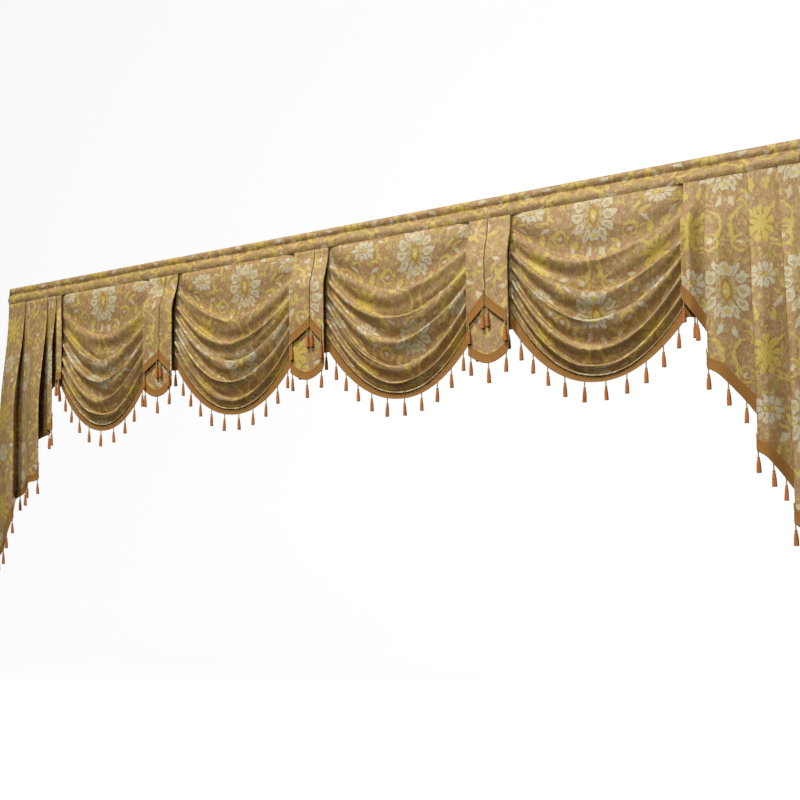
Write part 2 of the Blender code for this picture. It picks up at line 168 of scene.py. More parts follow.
def makePiece(name, part, node, slotName):
    mesh = bpy.data.meshes.new(name)
    mesh.from_pydata(part["verts"].tolist(), [], part["faces"].tolist())
    mesh.validate()
    layer = mesh.uv_layers.new(name="clothMap")
    order = np.empty(len(mesh.loops), dtype=np.int32)
    mesh.loops.foreach_get("vertex_index", order)
    layer.data.foreach_set("uv", part["uv"][order].astype(np.float32).ravel())
    tone = mesh.attributes.new("tone", "FLOAT", "POINT")
    tone.data.foreach_set("value", part["tone"].astype(np.float32))
    mesh.shade_smooth()
    mesh.materials.append(materials[slotName])
    piece = placed(name, mesh)
    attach(piece, "root")
    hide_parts(node)
    return piece


def makeCloth(name, points, uv, node):
    return makePiece(name, thickSheet(points, valance["cloth"], uv), node, "brocade")


class Field:
    # a number at every point of the surface, so that node maths reads as a formula
    def __init__(self, tree, socket):
        self.tree, self.socket = tree, socket

    def make(self, operation, *others):
        node = self.tree.nodes.new("ShaderNodeMath")
        node.operation = operation
        for place, value in enumerate((self,) + others):
            if isinstance(value, Field):
                self.tree.links.new(value.socket, node.inputs[place])
            else:
                node.inputs[place].default_value = value
        return Field(self.tree, node.outputs[0])

    def __add__(self, other): return self.make("ADD", other)
    def __sub__(self, other): return self.make("SUBTRACT", other)
    def __mul__(self, other): return self.make("MULTIPLY", other)
    def __truediv__(self, other): return self.make("DIVIDE", other)
    def __rsub__(self, other): return (self * -1.0) + other
    __radd__ = __add__
    __rmul__ = __mul__


def ramp(field, low, high):  # 0 at low, 1 at high, smooth between, flat outside
    node = field.tree.nodes.new("ShaderNodeMapRange")
    node.interpolation_type = "SMOOTHSTEP"
    node.inputs["From Min"].default_value = low
    node.inputs["From Max"].default_value = high
    field.tree.links.new(field.socket, node.inputs["Value"])
    return Field(field.tree, node.outputs[0])


def striped(field, pitch):  # a sine of the given pitch in metres
    return (field * (2 * math.pi / pitch)).make("SINE")


def distance(x, y):
    return (x * x + y * y).make("SQRT")


def either(*masks):  # the greatest of several masks
    whole = masks[0]
    for mask in masks[1:]:
        whole = whole.make("MAXIMUM", mask)
    return whole


damask = {  # one repeat of the woven pattern, in metres
    "width": 0.380, "height": 0.360,
    "narrow": 1.36, "edge": 0.0011,  # squeezes the large flower; fades a motif's edge
    # ovals and leaves: place across and up, half length, half width, turn in degrees
    "outerLobes": [
        (0.033, 0.151, 0.023, 0.013, 58), (0.058, 0.127, 0.025, 0.0155, 28),
        (0.066, 0.091, 0.025, 0.0160, 0), (0.058, 0.056, 0.025, 0.0150, -28),
        (0.033, 0.033, 0.022, 0.012, -58)],
    "innerLobes": [
        (0.022, 0.117, 0.018, 0.0085, 52), (0.034, 0.096, 0.017, 0.0080, 8),
        (0.032, 0.074, 0.017, 0.0080, -22), (0.018, 0.058, 0.016, 0.0075, -58)],
    "heart": [(0.0, 0.090, 0.022, 0.011, 90)], "halo": [(0.0, 0.090, 0.030, 0.016, 90)],
    "eye": [(0.0, 0.088, 0.0055, 0.0050, 90)],
    "scrollDots": [(0.104, 0.030, 0.0075, 0.0065, 20), (0.043, 0.226, 0.0080, 0.0070, 70)],
    "yellowLeaves": [
        (0.128, 0.098, 0.020, 0.007, 60), (0.150, 0.082, 0.018, 0.006, 20),
        (0.112, 0.185, 0.021, 0.007, 120), (0.094, 0.208, 0.016, 0.006, 60),
        (0.150, 0.222, 0.016, 0.006, 10), (0.085, 0.325, 0.020, 0.007, 35),
        (0.165, 0.020, 0.024, 0.008, 100), (0.060, 0.008, 0.018, 0.007, 140),
        (0.148, 0.316, 0.017, 0.006, 150)],
    "oliveLeaves": [
        (0.142, 0.124, 0.016, 0.006, 100), (0.130, 0.205, 0.015, 0.006, 160),
        (0.014, 0.192, 0.020, 0.006, 75), (0.165, 0.190, 0.020, 0.007, 110),
        (0.140, 0.010, 0.016, 0.006, 30), (0.106, 0.296, 0.016, 0.006, 80),
        (0.122, 0.262, 0.018, 0.006, 120), (0.070, 0.150, 0.016, 0.006, 60)],
    "whiteLeaves": [
        (0.150, 0.054, 0.019, 0.007, -40), (0.082, 0.176, 0.016, 0.006, 30),
        (0.020, 0.346, 0.018, 0.008, 110), (0.104, 0.235, 0.014, 0.006, -20),
        (0.122, 0.152, 0.012, 0.005, 10), (0.068, 0.352, 0.013, 0.006, 90)],
    # a lobe's hollow: share of its place, metres up, share of its length and of its width
    "hollow": (0.94, 0.0055, 0.52, 0.42),
    # flowers: place, half width, half height, petals, depth of the scallops
    "above": (0.0, 0.150, 0.019, 0.020, 5, 0.3), "below": (0.0, 0.034, 0.018, 0.018, 5, 0.3),
    "small": (0.182, 0.126, 0.034, 0.036, 8, 0.45), "peony": (0.190, 0.270, 0.048, 0.056, 9, 0.56),
    "roundness": 0.6,
    # ramps over a flower's radius or scallop, which part its middle and petals
    "centre": (0.50, 0.34), "smallCentre": (0.24, 0.14), "smallRing": (0.22, 0.34),
    "smallPetals": (0.20, 0.45), "peonyRing": (0.30, 0.50), "peonyParting": (0.50, 0.22),
    # scrolls: place, radius, half band where thin and where thick, heavy side in degrees
    "scrolls": [
        (0.104, 0.030, 0.0215, 0.0010, 0.0056, 60), (0.072, 0.272, 0.0575, -0.0060, 0.0054, 180),
        (0.043, 0.226, 0.0230, 0.0006, 0.0050, 200), (0.050, 0.324, 0.0180, -0.0020, 0.0046, 30),
        (0.160, 0.150, 0.0620, -0.0120, 0.0044, 140)],
}


def turnedAxes(x, y, cx, cy, turn):
    # metres along and across an axis through (cx, cy), turned by turn degrees
    c, s = math.cos(math.radians(turn)), math.sin(math.radians(turn))
    dx, dy = x - cx, y - cy
    return dx * c + dy * s, dy * c - dx * s


def leaf(x, y, cx, cy, length, width, turn):
    # pointed oval: inside where |across| / width < 1 - (along / length)^2
    along, across = turnedAxes(x, y, cx, cy, turn)
    a, b = along / length, across.make("ABSOLUTE") / width
    return ramp(1.0 - a * a - b, -damask["edge"] / width, damask["edge"] / width)


def oval(x, y, cx, cy, length, width, turn):
    # inside where (along / length)^2 + (across / width)^2 < 1
    along, across = turnedAxes(x, y, cx, cy, turn)
    a, b = along / length, across / width
    return ramp(1.0 - a * a - b * b, -damask["edge"] / width, 2 * damask["edge"] / width)


def curl(x, y, cx, cy, radius, thin, thick, heavySide):
    # ring whose half band goes from thin to thick as the cosine of the angle from its heavy side
    dx, dy = x - cx, y - cy
    turn = dy.make("ARCTAN2", dx) - math.radians(heavySide)
    band = turn.make("COSINE") * ((thick - thin) / 2) + (thick + thin) / 2
    return ramp(band - (distance(dx, dy) - radius).make("ABSOLUTE"), -damask["edge"], damask["edge"])


def blossom(x, y, cx, cy, wide, tall, petals, depth):
    # polar flower: the rim is 1 - depth + depth * |cos(petals * angle / 2)|^roundness
    dx, dy = (x - cx) / wide, (y - cy) / tall
    reach = distance(dx, dy)
    scallop = (dx.make("ARCTAN2", dy) * (petals / 2)).make("COSINE").make("ABSOLUTE")
    rim = scallop.make("POWER", damask["roundness"]) * depth + (1 - depth)
    return ramp(rim - reach, -damask["edge"] / wide, damask["edge"] / wide), reach, scallop


def wovenPattern(u, v):
    # Mirrored repeat: u folds at the flower's axis and v wraps. Returns the mask of each yarn.
    x = u.make("PINGPONG", damask["width"] / 2)
    y = v.make("FLOORED_MODULO", damask["height"])
    wide = x * damask["narrow"]

    def drawn(shape, facts, across=x):  # every motif of one kind
        return either(*[shape(across, y, *fact) for fact in facts])

    pull, lift, shorter, thinner = damask["hollow"]
    hollowed = [(cx * pull, cy * pull + lift, length * shorter, width * thinner, turn)
                for cx, cy, length, width, turn in damask["outerLobes"]]
    lobes = drawn(oval, damask["outerLobes"], wide)
    hollows = drawn(oval, hollowed, wide)
    inner = drawn(oval, damask["innerLobes"], wide)
    above, aboveReach, _ = blossom(x, y, *damask["above"])
    below, belowReach, _ = blossom(x, y, *damask["below"])
    small, smallReach, smallScallop = blossom(x, y, *damask["small"])
    floret = small * ramp(smallReach, *damask["smallRing"]) * ramp(smallScallop, *damask["smallPetals"])
    peony, peonyReach, peonyScallop = blossom(x, y, *damask["peony"])
    parting = ramp(peonyScallop, *damask["peonyParting"]) * ramp(peonyReach, *damask["peonyRing"])
    hearts = either(ramp(aboveReach, *damask["centre"]), ramp(belowReach, *damask["centre"]),
                    drawn(leaf, damask["heart"]), ramp(smallReach, *damask["smallCentre"]))
    white = either(lobes * (1.0 - hollows), above, below, floret,
                   drawn(leaf, damask["whiteLeaves"])) * (1.0 - hearts)
    return {
        "cream": either(hollows, inner),
        "ochre": either(drawn(oval, damask["halo"]), peony),
        "olive": drawn(leaf, damask["oliveLeaves"]),
        "yellow": either(peony * (1.0 - parting), drawn(curl, damask["scrolls"]), hearts,
                         drawn(leaf, damask["yellowLeaves"])),
        "white": either(white, drawn(leaf, damask["scrollDots"]), drawn(oval, damask["eye"])),
    }


def mixed(tree, factor, first, second):
    # colour mix by a field; first and second are sockets or RGB triples
    node = tree.nodes.new("ShaderNodeMix")
    node.data_type = "RGBA"
    for place, value in ((6, first), (7, second)):  # the two colour inputs
        if isinstance(value, tuple):
            node.inputs[place].default_value = (*value, 1.0)
        else:
            tree.links.new(value, node.inputs[place])
    tree.links.new(factor.socket, node.inputs[0])
    return node.outputs[2]


def stretched(tree, u, v, across, down):
    # the cloth's own metres, scaled apart so that a noise runs along the threads
    node = tree.nodes.new("ShaderNodeCombineXYZ")
    tree.links.new((u * across).socket, node.inputs[0])
    tree.links.new((v * down).socket, node.inputs[1])
    return node.outputs[0]


def noiseField(tree, vector, scale, detail):
    node = tree.nodes.new("ShaderNodeTexNoise")
    node.inputs["Scale"].default_value = scale
    node.inputs["Detail"].default_value = detail
    tree.links.new(vector, node.inputs["Vector"])
    return Field(tree, node.outputs[0])


def plainMaterial(name, sockets):
    material = bpy.data.materials.new(name)
    material.use_nodes = True
    shader = material.node_tree.nodes["Principled BSDF"]
    for socket, value in sockets.items():
        shader.inputs[socket].default_value = value
    return material, material.node_tree, shader


def startMaterial(name, sockets):
    # a plain material and the fields of its cloth map
    material, tree, shader = plainMaterial(name, sockets)
    place = tree.nodes.new("ShaderNodeUVMap")
    place.uv_map = "clothMap"
    split = tree.nodes.new("ShaderNodeSeparateXYZ")
    tree.links.new(place.outputs[0], split.inputs[0])
    u, v = Field(tree, split.outputs[0]), Field(tree, split.outputs[1])
    return material, tree, shader, place.outputs[0], u, v


def addBump(tree, shader, height, depth):
    bump = tree.nodes.new("ShaderNodeBump")
    bump.inputs["Strength"].default_value = 1.0
    bump.inputs["Distance"].default_value = depth
    tree.links.new(height.socket, bump.inputs["Height"])
    tree.links.new(bump.outputs[0], shader.inputs["Normal"])


brocadeYarn = {
    "ground": (0.322, 0.188, 0.080), "shade": (0.165, 0.072, 0.016), "light": (0.410, 0.268, 0.140),
    "white": (0.500, 0.470, 0.325), "yellow": (0.500, 0.385, 0.085), "ochre": (0.280, 0.140, 0.010),
    "olive": (0.310, 0.265, 0.045), "cream": (0.400, 0.370, 0.180),
    # how far a motif's edge strays: scale and detail of each noise, and its reach in metres
    "strayAcross": [(130.0, 3.0, 0.0110), (34.0, 1.0, 0.020)],
    "strayDown": [(120.0, 3.0, 0.0110), (30.0, 1.0, 0.022)],
    # noises: stretch across and down, scale, detail
    "noises": {"cloudy": (1.0, 1.0, 26.0, 3.0), "streaks": (1.0, 0.16, 520.0, 2.0),
               "flecks": (1.0, 0.4, 260.0, 2.0), "sprigs": (1.0, 0.75, 62.0, 3.0),
               "motes": (-1.0, 0.70, 74.0, 3.0)},
    "tonalRates": (165.0, 157.0), "tonalStray": 2.0, "tonalCloud": 0.9, "seedRate": 330.0,
    "speckCloud": 0.5, "worn": (0.22, 0.60),
    # layers under and over the pattern: colour, strength, and the ramps of the fields that shape it
    "under": [("light", 0.60, [("tonal", 0.15, 0.70)]),
              ("olive", 0.35, [("seeds", 0.30, 0.80), ("cloudy", 0.40, 0.60)]),
              ("shade", 0.40, [("specks", 0.86, 0.60)]),
              ("yellow", 0.62, [("sprigs", 0.585, 0.625)]),
              ("cream", 0.55, [("motes", 0.605, 0.640)])],
    "over": [("shade", 0.30, [("streaks", 0.50, 0.72)])],
    # the pattern's yarns in the order they are laid: strength where worn and everywhere
    "laid": [("cream", 0.75, 0.0), ("ochre", 0.0, 0.70), ("olive", 0.85, 0.0),
             ("yellow", 0.55, 0.35), ("white", 0.45, 0.40)],
    "weft": 0.0011, "warp": 0.0009, "relief": (0.60, 0.12, 0.14), "bump": 0.0006,
    "rough": 0.46, "gloss": 0.08,
    "sockets": {"Specular IOR Level": 0.45, "Specular Tint": (1.0, 0.84, 0.58, 1),
                "Sheen Weight": 0.06, "Sheen Roughness": 0.4, "Sheen Tint": (1.0, 0.80, 0.50, 1)},
}


def strayed(tree, vector, noises):  # sum of noises about nought, each times its reach
    first, second = ((noiseField(tree, vector, scale, detail) - 0.5) * reach
                     for scale, detail, reach in noises)
    return first + second


def layered(tree, colour, fields, layers):
    # each layer lies over the last by its strength times the ramps of its fields
    for name, strength, masks in layers:
        for field, low, high in masks:
            strength = ramp(fields[field], low, high) * strength
        colour = mixed(tree, strength, colour, brocadeYarn[name])
    return colour


def brocadeCloth():
    # yarn colours laid one over another by the pattern's masks, each uneven along its threads
    yarn = brocadeYarn
    material, tree, shader, vector, u, v = startMaterial("goldBrocade", yarn["sockets"])
    strayU = strayed(tree, vector, yarn["strayAcross"])
    strayV = strayed(tree, stretched(tree, u, v, -1.0, 1.0), yarn["strayDown"])
    pattern = wovenPattern(u + strayU, v + strayV)
    fields = {name: noiseField(tree, stretched(tree, u, v, across, down), scale, detail)
              for name, (across, down, scale, detail) in yarn["noises"].items()}
    rateU, rateV = yarn["tonalRates"]
    tonalU = ((u + strayU * yarn["tonalStray"]) * rateU).make("SINE")
    tonalV = ((v + strayV * yarn["tonalStray"]) * rateV).make("SINE")
    fields["tonal"] = tonalU * tonalV + fields["cloudy"] * yarn["tonalCloud"]
    fields["seeds"] = (((u + v + strayU) * yarn["seedRate"]).make("SINE")
                       * ((u - v + strayV) * yarn["seedRate"]).make("SINE"))
    fields["specks"] = fields["flecks"] + fields["cloudy"] * yarn["speckCloud"]
    colour = layered(tree, yarn["ground"], fields, yarn["under"])
    worn = ramp(fields["flecks"], *yarn["worn"])
    for name, whereWorn, always in yarn["laid"]:
        colour = mixed(tree, pattern[name] * (worn * whereWorn + always), colour, yarn[name])
    colour = layered(tree, colour, fields, yarn["over"])
    tree.links.new(colour, shader.inputs["Base Color"])
    raised = either(pattern["white"], pattern["yellow"], pattern["olive"])
    overMotif, overThread, overStreak = yarn["relief"]
    height = (raised * overMotif + striped(v, yarn["weft"]) * striped(u, yarn["warp"]) * overThread
              + fields["streaks"] * overStreak)
    addBump(tree, shader, height, yarn["bump"])
    tree.links.new((yarn["rough"] - raised * yarn["gloss"]).socket, shader.inputs["Roughness"])
    return material


trimYarn = {
    "braid": (0.420, 0.205, 0.050), "braidDark": (0.190, 0.070, 0.012), "cord": (0.300, 0.205, 0.065),
    "skirt": (0.620, 0.210, 0.050), "skirtDark": (0.260, 0.070, 0.012),
    "twist": 0.0052, "strand": 0.0019, "fluff": (420.0, 2.0), "bump": 0.0007,
    "braidShade": (0.45, 0.05), "braidStrength": 0.75, "cordShade": (0.2, 0.9), "cordStrength": 0.5,
    "skirtMix": (0.6, 0.5), "skirtShade": (0.65, 0.25), "fluffHeight": 0.3,
    "cordFrom": (0.4, 0.6), "braidUpTo": (0.6, 0.4), "skirtFrom": (1.4, 1.6),
    "sockets": {"Roughness": 0.62, "Specular IOR Level": 0.35, "Specular Tint": (1.0, 0.80, 0.50, 1)},
}


def gimpYarn():
    # tone 0 is the braid, 1 the cord of a tassel, 2 its skirt; crossed sines make the twist
    yarn = trimYarn
    material, tree, shader, vector, u, v = startMaterial("gimpYarn", yarn["sockets"])
    toneNode = tree.nodes.new("ShaderNodeAttribute")
    toneNode.attribute_name = "tone"
    tone = Field(tree, toneNode.outputs["Fac"])
    twist, cross, strand = (striped(field, pitch) * 0.5 + 0.5 for field, pitch in (
        (u + v, yarn["twist"]), (u - v, yarn["twist"]), (u, yarn["strand"])))
    fluff = noiseField(tree, vector, *yarn["fluff"])
    braidShade = ramp(twist * cross, *yarn["braidShade"])
    skirtShade = ramp(strand * yarn["skirtMix"][0] + fluff * yarn["skirtMix"][1], *yarn["skirtShade"])
    cordShade = ramp(twist, *yarn["cordShade"]) * yarn["cordStrength"]
    braidColour = mixed(tree, braidShade * yarn["braidStrength"], yarn["braid"], yarn["braidDark"])
    skirtColour = mixed(tree, skirtShade, yarn["skirt"], yarn["skirtDark"])
    cordColour = mixed(tree, cordShade, yarn["cord"], yarn["braidDark"])
    isSkirt = ramp(tone, *yarn["skirtFrom"])
    colour = mixed(tree, ramp(tone, *yarn["cordFrom"]), braidColour, cordColour)
    tree.links.new(mixed(tree, isSkirt, colour, skirtColour), shader.inputs["Base Color"])
    height = (ramp(tone, *yarn["braidUpTo"]) * (1.0 - braidShade) + isSkirt * strand
              + fluff * yarn["fluffHeight"])
    addBump(tree, shader, height, yarn["bump"])
    return material


materials = {"brocade": brocadeCloth(), "gimp": gimpYarn()}
print("materials ready")


heading = {
    # front section from the top: metres down and depth
    "section": [
        (0.000, 0.0075), (0.003, 0.0118), (0.010, 0.0142), (0.018, 0.0130), (0.0245, 0.0090),
        (0.028, 0.0080), (0.032, 0.0112), (0.038, 0.0168), (0.046, 0.0202), (0.054, 0.0205),
        (0.061, 0.0182), (0.066, 0.0158)],
    "height": 0.066, "stations": 900, "across": 30, "pucker": 0.0024,
    "puffs": [(0.5, 9.1, 0, 1.2), (0.3, 23.7, 0, 0), (0.2, 61.0, 240, 0)],
    # tucks: rate, how far and how slowly it drifts, sharpness, share of the pucker
    "tucks": (47.0, 3, 3.1, 8, 0.8),
    "sway": (0.0012, 7.3, 1.0), "capShare": 0.5, "map": (0.06, 0.258),
}


def headingRing():
    # Section as a smooth curve, swept along the width and closed by the flat back. Its depth is
    # puffed by sines and nipped by a high power of |sin|, both most at half height.
    at = np.linspace(0, len(heading["section"]) - 1, heading["across"])
    section = through(heading["section"], at)
    x = np.linspace(-valance["width"] / 2, valance["width"] / 2, heading["stations"])
    down, depth = section[:, :1], section[:, 1:]
    share = np.sin(np.pi * np.clip(down / heading["height"], 0, 1))
    rate, drift, driftRate, sharpness, nip = heading["tucks"]
    tucks = np.abs(np.sin(x * rate + drift * np.sin(x * driftRate))) ** sharpness
    depth = depth + heading["pucker"] * share * (waves(heading["puffs"], x, down, 1) - tucks * nip)
    sway, swayRate, swayStart = heading["sway"]
    level = -down + sway * share * np.sin(x * swayRate + swayStart)
    front = np.stack([x + 0 * depth, -depth, level], axis=-1)
    backTop, backLow = (np.stack([x, 0 * x, 0 * x - drop], axis=-1)[None]
                        for drop in (0, heading["height"]))
    return np.concatenate([backTop, front, backLow])


def makeHeading():
    ring = headingRing()
    count, columns = ring.shape[:2]
    i = np.arange(count * columns).reshape(count, columns)
    around = np.roll(i, -1, axis=0)
    faces = [np.stack([i[:, :-1], around[:, :-1], around[:, 1:], i[:, 1:]], axis=-1).reshape(-1, 4)]
    # each end is a band of quads between the ring and a small inner copy of it, then closed flat
    inners = []
    for side, column in enumerate((0, columns - 1)):
        middle = ring[:, column].mean(axis=0)
        inners.append(between(middle, ring[:, column], heading["capShare"]))
        own = np.arange(count) + (columns + side) * count
        border, after = i[:, column], np.roll(i[:, column], -1)
        half = count // 2
        quads = np.concatenate([
            np.stack([after, border, own, np.roll(own, -1)], axis=-1),
            np.stack([own[1:half], own[:half - 1], own[::-1][:half - 1], own[::-1][1:half]], axis=-1)])
        faces.append(quads if side == 0 else quads[:, ::-1])
    run = lineRun(ring[:, columns // 2])[:, None]
    across, down = heading["map"]
    uv = np.stack([ring[:, :, 0] + across, down - (run + 0 * ring[:, :, 0])], axis=-1)
    verts = np.concatenate([ring.reshape(-1, 3)] + inners)
    part = {"verts": verts, "faces": np.concatenate(faces), "tone": np.zeros(len(verts)),
            "uv": np.concatenate([uv.reshape(-1, 2)] + [inner[:, [0, 2]] for inner in inners])}
    return makePiece("headingBand", part, "heading", "brocade")


makeHeading()
print("heading done")


braid = {
    "width": 0.028, "overhang": 0.004, "thickness": 0.003, "gap": 0.0006, "rows": 15,
    "relief": 0.0009, "edgeInset": 0.10, "edgeSoft": 0.09,
    "ribs": (0.45, 4, 0.012),  # share of the relief, ribs across, pitch along
    "spacing": 0.062, "margin": 0.010, "rootDepth": 0.0035, "rootBack": 0.0014,
}
tassel = {
    "sides": 8, "length": 0.060, "swing": 0.0012, "swingRates": (2.3, 1.9),
    "ridge": 0.05, "ridgeFrom": 0.025, "mapRadius": 0.005, "lengthSpread": 0.05, "lengthRate": 1.7,
    # rings: metres down, radius, tone
    "rings": [
        (0.0000, 0.0018, 1), (0.0180, 0.0019, 1), (0.0195, 0.0036, 1), (0.0220, 0.0041, 1),
        (0.0245, 0.0031, 2), (0.0275, 0.0043, 2), (0.0400, 0.0056, 2), (0.0600, 0.0062, 2)],
}


def bandRise(hem):
    # upright height of the flat band above a hem, longer where the hem slopes
    run = np.gradient(hem, axis=0)
    slope = run[:, 2] / np.maximum(np.hypot(run[:, 0], run[:, 1]), tiny)
    return valance["bandHeight"] * np.minimum(np.sqrt(1 + slope ** 2), valance["steepest"])


def tasselMesh(root, number, lengthen):
    # radii turned about the root, swung a little as the square of the way down; the skirt has a
    # ridge on every other side, and both ends are open
    sides = tassel["sides"]
    rings = np.array([ring[:2] for ring in tassel["rings"]])
    turn = np.arange(sides) * 2 * np.pi / sides + number
    rateX, rateY = tassel["swingRates"]
    swing = np.array([np.sin(number * rateX), np.cos(number * rateY)]) * tassel["swing"]
    down = rings[:, :1] * lengthen
    ridge = 1 + tassel["ridge"] * np.cos(turn * sides / 2) * (rings[:, :1] > tassel["ridgeFrom"])
    radius = rings[:, 1:] * ridge
    sway = (rings[:, :1] / tassel["length"]) ** 2
    x = root[0] + radius * np.cos(turn) + swing[0] * sway
    y = root[1] + radius * np.sin(turn) + swing[1] * sway
    points = np.stack([x, y, root[2] - down + 0 * x], axis=-1)
    i = np.arange(len(rings) * sides).reshape(-1, sides)
    after = np.roll(i, -1, axis=1)
    faces = np.stack([i[:-1], i[1:], after[1:], after[:-1]], axis=-1).reshape(-1, 4)
    tones = [ring[2] for ring in tassel["rings"]]
    uv = np.stack(np.broadcast_arrays(turn[None] * tassel["mapRadius"], -down), -1)
    return {"verts": points.reshape(-1, 3), "faces": faces, "uv": uv.reshape(-1, 2),
            "tone": np.repeat(tones, sides).astype(float)}


def makeTrim(name, hem, rise, normals, lift, node):
    # Braid: the hem plus a share of the band's rise, lifted along the normals, with a bell-shaped
    # cord along both edges and crossed sines for ribs. Tassels hang at even steps from its edge.
    share = np.linspace(braid["width"] - braid["overhang"], -braid["overhang"], braid["rows"])[:, None]
    w = np.linspace(0, 1, braid["rows"])[:, None]
    edges = sum(np.exp(-((w - place) / braid["edgeSoft"]) ** 2)
                for place in (braid["edgeInset"], 1 - braid["edgeInset"]))
    run = lineRun(hem)
    ribHeight, ribsAcross, ribPitch = braid["ribs"]
    ribs = ribHeight * np.sin(np.pi * ribsAcross * w) * np.sin(run * 2 * np.pi / ribPitch)
    body = braid["thickness"] - braid["relief"]
    up = (rise / valance["bandHeight"])[None, :] * share
    points = hem[None] + up[..., None] * upright
    points = points + normals[None] * (lift + body + braid["relief"] * (edges + ribs))[..., None]
    uv = np.stack(np.broadcast_arrays(run[None], share), axis=-1)
    parts = [thickSheet(points, body, uv)]
    lower = points[-1]
    reach = lineRun(lower)
    count = max(2, round((reach[-1] - 2 * braid["margin"]) / braid["spacing"]) + 1)
    for number, at in enumerate(np.linspace(braid["margin"], reach[-1] - braid["margin"], count)):
        root, facing = (np.array([np.interp(at, reach, line[:, axis]) for axis in range(3)])
                        for line in (lower, normals))
        root = root - facing * braid["rootBack"] + upright * braid["rootDepth"]
        lengthen = 1 + tassel["lengthSpread"] * math.sin(tassel["lengthRate"] * number)
        parts.append(tasselMesh(root, number, lengthen))
    return makePiece(name, joined(parts), node, "gimp")


def makeHemTrim(name, points, chosen, lift, node):
    # trim along the chosen columns of a grid's last row
    normals = gridNormals(points[-3:, chosen])[-1]
    return makeTrim(name, points[-1, chosen], bandRise(points[-1])[chosen], normals, lift, node)


swags = {
    # a fold: heights of its crest at the left end, at its lowest and at the right end, then the
    # depths of the crest and of the valley above it in the middle; hem: three heights and a depth
    1: {"folds": [(-0.140, -0.262, -0.150, 0.030, 0.009), (-0.190, -0.355, -0.208, 0.037, 0.009),
                  (-0.236, -0.430, -0.262, 0.041, 0.009), (-0.285, -0.503, -0.310, 0.042, 0.010),
                  (-0.330, -0.560, -0.362, 0.040, 0.012), (-0.372, -0.598, -0.402, 0.036, 0.014)],
        "hem": (-0.425, -0.617, -0.445, 0.028), "shift": 0.010, "tucked": (0.028, 0.067),
        "map": (0.0, 0.145)},
    2: {"folds": [(-0.130, -0.268, -0.142, 0.031, 0.008), (-0.186, -0.352, -0.200, 0.038, 0.008),
                  (-0.226, -0.418, -0.250, 0.041, 0.010), (-0.272, -0.490, -0.300, 0.043, 0.010),
                  (-0.318, -0.548, -0.350, 0.040, 0.013), (-0.362, -0.583, -0.396, 0.036, 0.015)],
        "hem": (-0.415, -0.600, -0.440, 0.028), "shift": 0.004, "tucked": (0.067, 0.067),
        "map": (-0.05, 0.180)},
    3: {"folds": [(-0.128, -0.255, -0.140, 0.032, 0.008), (-0.178, -0.340, -0.196, 0.038, 0.008),
                  (-0.222, -0.415, -0.252, 0.042, 0.010), (-0.262, -0.500, -0.304, 0.043, 0.010),
                  (-0.312, -0.546, -0.356, 0.041, 0.014), (-0.362, -0.580, -0.400, 0.036, 0.015)],
        "hem": (-0.415, -0.596, -0.442, 0.028), "shift": 0.008, "tucked": (0.067, 0.067),
        "map": (-0.07, 0.165)},
    4: {"folds": [(-0.126, -0.247, -0.142, 0.031, 0.008), (-0.180, -0.345, -0.215, 0.039, 0.009),
                  (-0.222, -0.425, -0.258, 0.042, 0.010), (-0.262, -0.508, -0.306, 0.044, 0.010),
                  (-0.308, -0.556, -0.358, 0.040, 0.013), (-0.360, -0.584, -0.404, 0.036, 0.015)],
        "hem": (-0.412, -0.599, -0.440, 0.028), "shift": -0.006, "tucked": (0.067, 0.028),
        "map": (0.0, 0.140)},
}
swagForm = {
    "panelTop": (-0.085, -0.110, -0.085),
    # depths in the middle and at the ends; endDepths are a valley's and a crest's for each fold,
    # and hemEnds the hem's at the left and right end
    "topDepth": (0.0168, 0.006), "belly": (0.0205, 0.003),
    "endDepths": [(0.003, 0.010), (0.003, 0.017), (0.004, 0.023), (0.004, 0.026), (0.005, 0.029),
                  (0.006, 0.030)],
    "hemEnds": (0.010, 0.026), "endDrop": 3.0, "nearest": 0.0026,
    # path of a fold from the crest above to the crest below: share of the height between them,
    # metres added to it, and share of the depth between valley and crest; + 2 is the crest below
    "path": [
        (0.06, 0.0, 1.03), (0.17, 0.0, 1.02), (0.32, 0.0, 0.90), (0.47, 0.0, 0.58), (0.60, 0.0, 0.22),
        (0.72, 0.0, 0.00), (0.85, 0.0, -0.06), (0.92, 0.001, 0.06), (0.95, 0.002, 2.60),
        (0.965, 0.003, 2.92)],
    "columns": 161, "stepsPerRow": 2, "crowding": 1.25,
    # powers of |x| that shape a row: its sag's at the top and at the hem, and its depth's low
    # down, with how much is added at the top and how soon that fades
    "sag": (1.70, 2.10), "steep": (2.5, 11, 7),
    # metres, sines across and down, and window down the swag
    "unevenCrests": (0.0035, [(0.6, 4.1, 17, 1), (0.4, 9.7, -31, 2)], (0, 5, 0.9, 10)),
    "ripples": (0.0016, [(0.5, 6.3, 41, 1.7), (0.5, 14.0, 9, -1)], (0, 6, 0.93, 14)),
    "minorFolds": (0.0066, [(0.5, 3.1, 23, 2.4)], (0.12, 8, 0.90, 12)),
    "minorPeriod": 11, "minorSkew": (2.6, 9),
    "tabBack": (0.0105, 0.037), "clearance": 0.0045, "behindFrom": 0.985,
    "tuckRun": 0.026, "tuckDepth": 0.004, "braidTucked": 0.028,
    "underCrest": 0.0015, "bandRows": 7, "tuckRows": (1.2, 1.9, 5),
}


